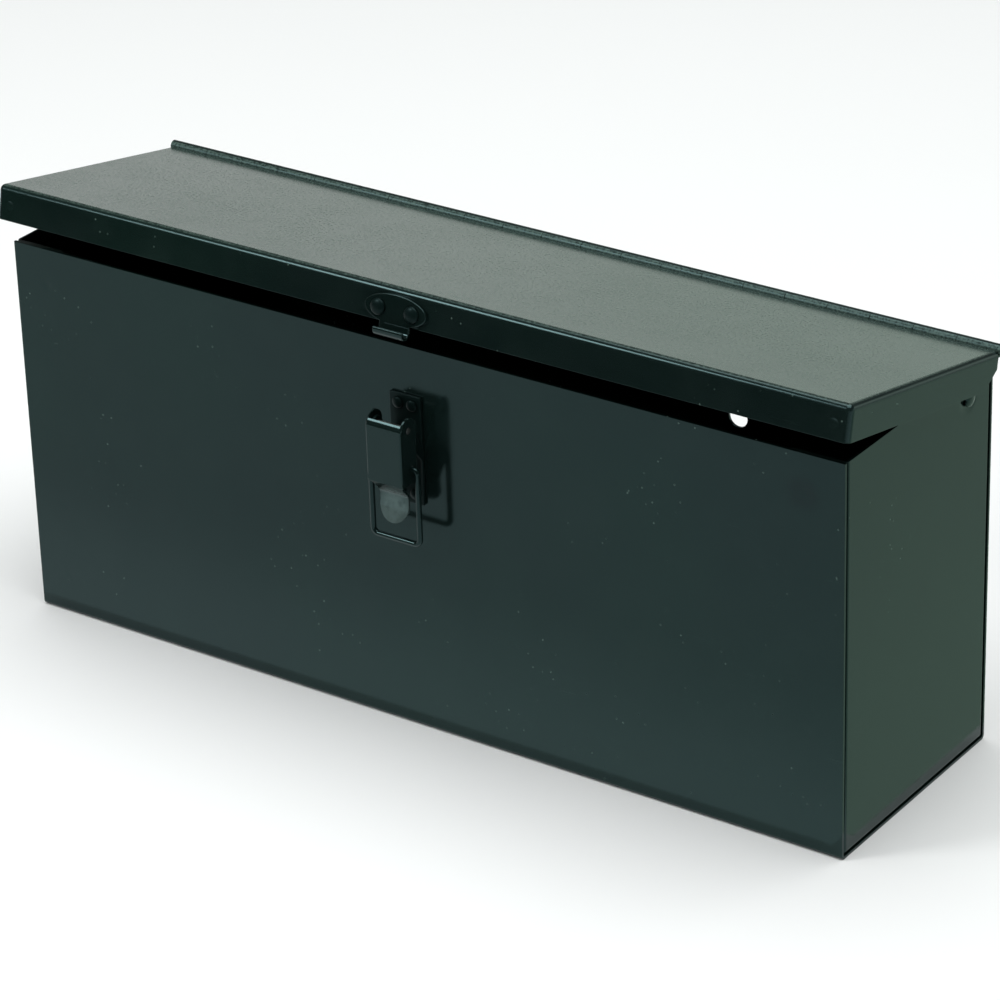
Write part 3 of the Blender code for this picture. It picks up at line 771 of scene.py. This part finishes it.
def make_leaf(name, half_length, upright, own_parity):
    """One hinge leaf: a flat strip with notches, and a rolled knuckle between them."""
    inner, outer = BARREL_RADIUS - LEAF_SHEET, BARREL_RADIUS
    edge = BARREL_RADIUS + GAP
    if upright:
        y = (AXIS_Y - outer, AXIS_Y - inner)
        z = (AXIS_Z - LEAF_WIDTH, AXIS_Z - edge)
    else:
        y = (AXIS_Y - LEAF_WIDTH, AXIS_Y - edge)
        z = (AXIS_Z - outer, AXIS_Z - inner)
    strip = box((-half_length, half_length), y, z)
    section = curl_outline(upright)
    steps = []
    for low, high in knuckle_ranges(own_parity, -KNUCKLE_GAP / 2):
        steps.append(("UNION", prism(section, 0, max(low, -LID_HALF), min(high, LID_HALF))))
    leaf = shaped(name, strip, steps)
    return break_edges(leaf, LEAF_EDGE, 60)


def make_hinge(hardware, steel):
    """Piano hinge: body leaf, lid leaf and the pin with its peened ends."""
    body_leaf = make_leaf("hinge_body_comb", HALF_LENGTH - SHEET - BEND - 2 * GAP, True, 1)
    add_piece(smooth(body_leaf), "box", ["hinge_leaf_body"], hardware)
    lid_leaf = turn_with_lid(make_leaf("hinge_lid_comb", LID_HALF - LID_BEND - GAP, False, 0))
    add_piece(smooth(lid_leaf), "lid", ["hinge_leaf_lid"], hardware)
    pin = turned_pin("hinge_pin_turned", (AXIS_Y, AXIS_Z), LID_HALF - GAP, PIN_RADIUS, HINGE_PIN_PEEN, 28)
    add_piece(smooth(turn_with_lid(pin)), "lid", ["hinge_pin"], steel)


def hook_line():
    """Lid-side face of the strike's sheet, from its top down and round into the lip."""
    back = AXIS_Y - LID_FRONT - GAP
    top = AXIS_Z - STRIKE_DROP + STRIKE_HALF_HEIGHT
    radius = HOOK_INNER / 2 + SHEET
    centre = (back - radius, HOOK_FOOT_Z + radius)
    return [(back, top)] + arc(centre, radius, 0, -180, 20) + [(back - 2 * radius, HOOK_LIP_Z)]


def strike_outline():
    """Front outline of the strike: an oval plate with a straight neck below it."""
    centre_z = AXIS_Z - STRIKE_DROP
    shoulder = asin(HOOK_HALF_WIDTH / STRIKE_HALF_LENGTH)
    steps = 64
    oval = []
    for k in range(steps + 1):
        a = -pi / 2 + shoulder + (2 * pi - 2 * shoulder) * k / steps
        oval.append((STRIKE_HALF_LENGTH * cos(a), centre_z + STRIKE_HALF_HEIGHT * sin(a)))
    foot = HOOK_FOOT_Z - SHEET
    return oval + [(-HOOK_HALF_WIDTH, foot), (HOOK_HALF_WIDTH, foot)]


def make_strike(material, dull):
    """Oval strike plate, its neck folded up into the hook, and its two domed rivets."""
    back = AXIS_Y - LID_FRONT - GAP
    sheet = prism(folded_strip(hook_line()[::-1], SHEET), 0, -REACH, REACH)
    steps = [("INTERSECT", prism(strike_outline(), 1, *TRIM_Y))]
    steps += rivet_holes(strike_rivet_places(), STRIKE_RIVET[0], back - 3 * SHEET, back + HOLE_REACH)
    strike = shaped("strike_pressing", sheet, steps)
    break_edges(strike, STRIKE_EDGE, 40, 3)
    turn_with_lid(strike)
    add_piece(smooth(strike), "lid", ["strike_plate"], material)
    for side, (x, z) in zip(("left", "right"), strike_rivet_places()):
        seat = (x, back - SHEET - GAP, z)
        grip = 2 * SHEET + 3 * GAP
        make_rivet(f"strike_rivet_{side}", STRIKE_RIVET, seat, "-Y", grip, "lid", dull, True)


# ---------------------------------------------------------------- latch


def ear_outline():
    """Side outline of the latch base: a flat plate with an ear that reaches up and out to the pivot."""
    back = FRONT - GAP
    face = back - SHEET
    low, high = BASE_Z
    y, z = LEVER_PIVOT

    def tangent(foot_z, side):
        reach = hypot(face - y, foot_z - z)
        toward = atan2(foot_z - z, face - y)
        lean = asin(EAR_RADIUS / reach)
        return (toward - side * lean + side * pi / 2) * 180 / pi

    tip = arc(LEVER_PIVOT, EAR_RADIUS, tangent(EAR_FOOT_Z[1], 1), tangent(EAR_FOOT_Z[0], -1) + 360, 24)
    plate_top = [(back, low), (back, high), (face, high), (face, EAR_FOOT_Z[1])]
    return plate_top + tip + [(face, EAR_FOOT_Z[0]), (face, low)]


def make_latch_base(material):
    """Riveted plate with two ears inside the lever, and its four rivets."""
    inside = BASE_HALF_WIDTH - SHEET
    face = FRONT - GAP - SHEET
    plate = prism(ear_outline(), 0, -BASE_HALF_WIDTH, BASE_HALF_WIDTH)
    low, high = BASE_Z
    steps = [
        ("DIFFERENCE", box((-inside, inside), (face - REACH, face), (low - HOLE_REACH, high + HOLE_REACH))),
        ("DIFFERENCE", cylinder(0, LEVER_PIVOT, LATCH_PIN_RADIUS + GAP, -REACH, REACH)),
    ]
    places = [(x, z) for _, x, z in latch_rivet_places()]
    steps += rivet_holes(places, LATCH_RIVET[0], face - HOLE_REACH, face + HOLE_REACH)
    base = shaped("latch_base_pressing", plate, steps)
    break_edges(base, LATCH_EDGE, 40, 3)
    add_piece(smooth(base), "box", ["latch_base"], material)
    for name, x, z in latch_rivet_places():
        make_rivet(name, LATCH_RIVET, (x, face - GAP, z), "-Y", 2 * SHEET + 3 * GAP, "box", material)


def tongue_line():
    """Outer face of the tongue's sheet, from inside the web's foot back, down and out to its tip."""
    knee = TONGUE_KNEE
    line = [(LEVER_WEB_Y, LEVER_FOOT_Z + 3 * knee), (LEVER_WEB_Y, LEVER_FOOT_Z + knee)]
    line += [(LEVER_WEB_Y + 0.3 * knee, LEVER_FOOT_Z), (LEVER_WEB_Y + knee, LEVER_FOOT_Z - 0.8 * knee)]
    line += [(TONGUE_Y - knee, TONGUE_TOP_Z + 1.6 * knee), (TONGUE_Y - 0.3 * knee, TONGUE_TOP_Z + 0.4 * knee)]
    steps = 8
    for k in range(steps + 1):
        t = k / steps
        line.append((TONGUE_Y - TONGUE_FLARE * t * t, TONGUE_TOP_Z - knee - t * TONGUE_RUN))
    return line


def tongue_outline():
    """Front outline of the tongue and of the web's foot."""
    w, t = LEVER_HALF_WIDTH - TONGUE_SHOULDER, TONGUE_HALF_WIDTH
    neck = LEVER_FOOT_Z - TONGUE_NECK
    top = LEVER_FOOT_Z + HOLE_REACH
    tip = arc((0, TONGUE_FOOT_Z + t), t, 0, -180, 28)
    return [(w, top), (w, LEVER_FOOT_Z), (t, neck)] + tip + [(-t, neck), (-w, LEVER_FOOT_Z), (-w, top)]


def lever_side():
    """Side outline of the lever's channel, its back open."""
    corner = LEVER_WALL_CORNER
    return arc(LEVER_PIVOT, LEVER_TOP_RADIUS, 0, 180, 28) + [
        (LEVER_WEB_Y, LEVER_FOOT_Z),
        (LEVER_WALL_Y - corner, LEVER_FOOT_Z),
        (LEVER_WALL_Y - 0.3 * corner, LEVER_FOOT_Z + 0.3 * corner),
        (LEVER_WALL_Y, LEVER_FOOT_Z + corner),
        (LEVER_WALL_Y, LEVER_PIVOT[1] - LEVER_WALL_TOP),
    ]


def lever_room():
    """Side outline of the space inside the channel, open to the back and over the top."""
    inner = LEVER_TOP_RADIUS - LEVER_SHEET
    web = LEVER_WEB_Y + LEVER_SHEET
    y, z = LEVER_PIVOT
    wrap = arc(LEVER_PIVOT, inner, 180, LEVER_WRAP_DEG, 12)
    a = radians(LEVER_WRAP_DEG)
    back, over = LEVER_MOUTH
    foot = LEVER_FOOT_Z - HOLE_REACH
    mouth = [(y + over * cos(a), z + over * sin(a)), (y + back, z + over), (y + back, foot)]
    return [(web, foot)] + wrap + mouth


def make_lever(material, steel):
    """Channel-shaped lever with a rolled top, folded front corners and a finger tongue; and its pin."""
    half = LEVER_HALF_WIDTH
    block = prism(lever_side(), 0, -half, half)

    def on_web(middle, direction):
        at_side = abs(abs(middle.x) - half) < CLOSE and abs(direction.x) < 0.5
        from_pivot = hypot(middle.y - LEVER_PIVOT[0], middle.z - LEVER_PIVOT[1])
        rolled = from_pivot > LEVER_TOP_RADIUS * 0.98
        rolled = rolled and middle.z > LEVER_PIVOT[1] and middle.y < LEVER_PIVOT[0]
        return at_side and (rolled or (middle.y < LEVER_WEB_Y + CLOSE and middle.z > LEVER_FOOT_Z))

    bevel_edges(block, on_web, LEVER_EDGE, 6)
    inside = half - LEVER_SHEET
    room = prism(lever_room(), 0, -inside, inside)
    tongue = prism(folded_strip(tongue_line(), LEVER_SHEET), 0, -REACH, REACH)
    tongue_piece = shaped("tongue", tongue, [("INTERSECT", prism(tongue_outline(), 1, *TRIM_Y))])
    tongue_bm = bmesh.new()
    tongue_bm.from_mesh(tongue_piece.data)
    bpy.data.objects.remove(tongue_piece, do_unlink=True)
    steps = [
        ("DIFFERENCE", room),
        ("UNION", tongue_bm),
        ("DIFFERENCE", cylinder(0, LEVER_PIVOT, LATCH_PIN_RADIUS + GAP, -REACH, REACH)),
        ("DIFFERENCE", cylinder(0, BAIL_PIVOT, WIRE_RADIUS + GAP, -REACH, REACH)),
    ]
    lever = shaped("lever_pressing", block, steps)
    break_edges(lever, LATCH_EDGE, 45, 3)
    add_piece(smooth(lever), "lever", ["latch_lever"], material)

    pin = turned_pin("latch_pin_turned", LEVER_PIVOT, LATCH_PIN_HALF, LATCH_PIN_RADIUS, LATCH_PIN_PEEN, 32)
    add_piece(smooth(pin), "lever", ["latch_pivot_pin"], steel)


def make_bail(material):
    """Wire loop, its ends turned in through the lever's walls."""
    w, z = BAIL_HALF_WIDTH, BAIL_PIVOT[1]
    foot = z - BAIL_DROP
    left = [(-BAIL_END_X, z)]
    left += arc((-w + BAIL_END_BEND, z - BAIL_END_BEND), BAIL_END_BEND, 90, 180, 10)
    left += [(-w, z - t * (BAIL_DROP - BAIL_BEND)) for t in (0.3, 0.6)]
    left += arc((-w + BAIL_BEND, foot + BAIL_BEND), BAIL_BEND, 180, 270, 12)
    path = left + [(-x, height) for x, height in reversed(left)]
    wire = mesh_object("bail_wire", tube([(x, BAIL_PIVOT[0], h) for x, h in path], WIRE_RADIUS, 24))
    break_edges(wire, LATCH_EDGE, 60, 3)
    return add_piece(smooth(wire, 60), "bail", ["latch_bail"], material)


# ---------------------------------------------------------------- studio


def make_floor():
    """A wide pale floor under the box."""
    bm = bmesh.new()
    bmesh.ops.create_grid(bm, x_segments=8, y_segments=8, size=FLOOR_HALF)
    floor = mesh_object("studio_floor", bm)
    floor.data.materials.append(plain_floor("floor_paper", PAPER))


def add_light(name, place, aim, size, power):
    """A rectangular softbox that faces a point."""
    data = bpy.data.lights.new(name, "AREA")
    data.shape = "RECTANGLE"
    data.size, data.size_y = size
    data.energy = power
    light = bpy.data.objects.new(name, data)
    light.visible_camera = False
    bpy.context.scene.collection.objects.link(light)
    light.location = place
    light.rotation_euler = (Vector(aim) - Vector(place)).to_track_quat("-Z", "Y").to_euler()


def make_world():
    """A pale backdrop low behind the box, brighter to the left; above it and in front the room is dark."""
    world = bpy.data.worlds.new("studio")
    bpy.context.scene.world = world
    world.use_nodes = True
    nodes, links = world.node_tree.nodes, world.node_tree.links
    split = nodes.new("ShaderNodeSeparateXYZ")
    links.new(nodes.new("ShaderNodeTexCoord").outputs["Generated"], split.inputs["Vector"])

    def step(axis, start, end):
        node = nodes.new("ShaderNodeMapRange")
        node.interpolation_type = "SMOOTHSTEP"
        links.new(split.outputs[axis], node.inputs["Value"])
        node.inputs["From Min"].default_value = start
        node.inputs["From Max"].default_value = end
        return node.outputs["Result"]

    def blend(factor, a, b):
        node = nodes.new("ShaderNodeMix")
        node.data_type = "RGBA"
        links.new(factor, node.inputs["Factor"])
        for key, colour in (("A", a), ("B", b)):
            if isinstance(colour, tuple):
                node.inputs[key].default_value = (*colour, 1.0)
            else:
                links.new(colour, node.inputs[key])
        return node.outputs["Result"]

    backdrop = blend(step("X", *BACKDROP_SIDE), BACKDROP_RIGHT, BACKDROP_LEFT)
    low_down = blend(step("Z", *BACKDROP_TOP), ROOM, backdrop)
    behind = blend(step("Y", *BACKDROP_FRONT), ROOM, low_down)
    links.new(behind, nodes["Background"].inputs["Color"])


def make_card(name, corners, colour, glow):
    """A card flat on the floor that only the glossy paint sees: dark cloth, or pale where it glows."""
    bm = bmesh.new()
    bm.faces.new([bm.verts.new((x, y, CARD_HEIGHT)) for x, y in corners])
    card = mesh_object(name, bm)
    n = Nodes(name)
    n.shader.inputs["Roughness"].default_value = 1.0
    n.shader.inputs["Specular IOR Level"].default_value = 0.0
    n.put(n.shader.inputs["Base Color"], n.mix(n.noise(40.0), *CLOTH))
    if glow:
        split = n.add("ShaderNodeSeparateXYZ")
        n.put(split.inputs["Vector"], n.place)
        start, end, gain = glow
        across = n.ramp(split.outputs["Y"], start, end)
        n.put(n.shader.inputs["Emission Color"], n.mix(across, colour, tuple(gain * c for c in colour)))
        n.shader.inputs["Emission Strength"].default_value = 1.0
    card.data.materials.append(n.material)
    card.visible_camera = False
    card.visible_diffuse = False
    card.visible_shadow = False


def make_camera():
    """A long lens from the front right and above."""
    yaw, pitch, roll = (radians(a) for a in CAMERA_YAW_PITCH_ROLL)
    back = Vector((sin(yaw) * cos(pitch), -cos(yaw) * cos(pitch), sin(pitch)))
    level = Vector((cos(yaw), sin(yaw), 0))
    up = back.cross(level)
    across = cos(roll) * level + sin(roll) * up
    upward = cos(roll) * up - sin(roll) * level
    data = bpy.data.cameras.new("camera")
    data.lens = CAMERA_LENS_MM
    data.sensor_width = SENSOR_MM
    camera = bpy.data.objects.new("camera", data)
    bpy.context.scene.collection.objects.link(camera)
    camera.matrix_world = Matrix.Translation(CAMERA_AT) @ Matrix((across, upward, back)).transposed().to_4x4()
    bpy.context.scene.camera = camera


def make_studio():
    """Floor, cards, backdrop and lights."""
    make_floor()
    for name, (corners, colour, glow) in CARDS.items():
        make_card(f"studio_{name}", corners, colour, glow)
    make_world()
    for name, settings in LIGHTS.items():
        add_light(name, *settings)
    bpy.context.scene.view_settings.view_transform = "Standard"


def main():
    make_camera()
    # The body gets painted shade over the front panel's deepest weld dent
    body = enamel("enamel_body", spot=WELD_DENT_PAINTED_SHADE)
    lid = enamel("enamel_lid", gloss=0.17, film=0.05, facing_dust_and_sheen=LID_DUST, wear=0.35)
    # The lever's tongue gets a lighter patch: rubbed paint with a painted sheen
    hardware = enamel("enamel_hardware", gloss=0.10, film=0.05, wave=0.0, wear=0.8, spot=TONGUE_RUB_AND_SHEEN)
    # The hinge's faces that look forward get the dust colour as a painted sheen
    hinge = enamel("enamel_hinge", gloss=0.22, film=0.05, facing_dust_and_sheen=HINGE_PAINTED_SHEEN, wave=0.0)
    base = enamel("enamel_base", gloss=0.34, film=0.01, wave=0.0, wear=0.3, ior=1.22)
    wire = enamel("enamel_wire", gloss=0.16, film=0.01, wave=0.0, wear=0.6)
    pin = bare_steel("pin_steel", PIN_STEEL, 0.7, 0.35)
    make_wrap(body)
    for side, sign in (("left", -1), ("right", 1)):
        make_end(side, sign, body, hardware)
    make_lid(lid)
    make_hinge(hinge, pin)
    make_strike(hardware, base)
    make_latch_base(base)
    make_lever(hardware, pin)
    make_bail(wire)
    make_studio()


main()
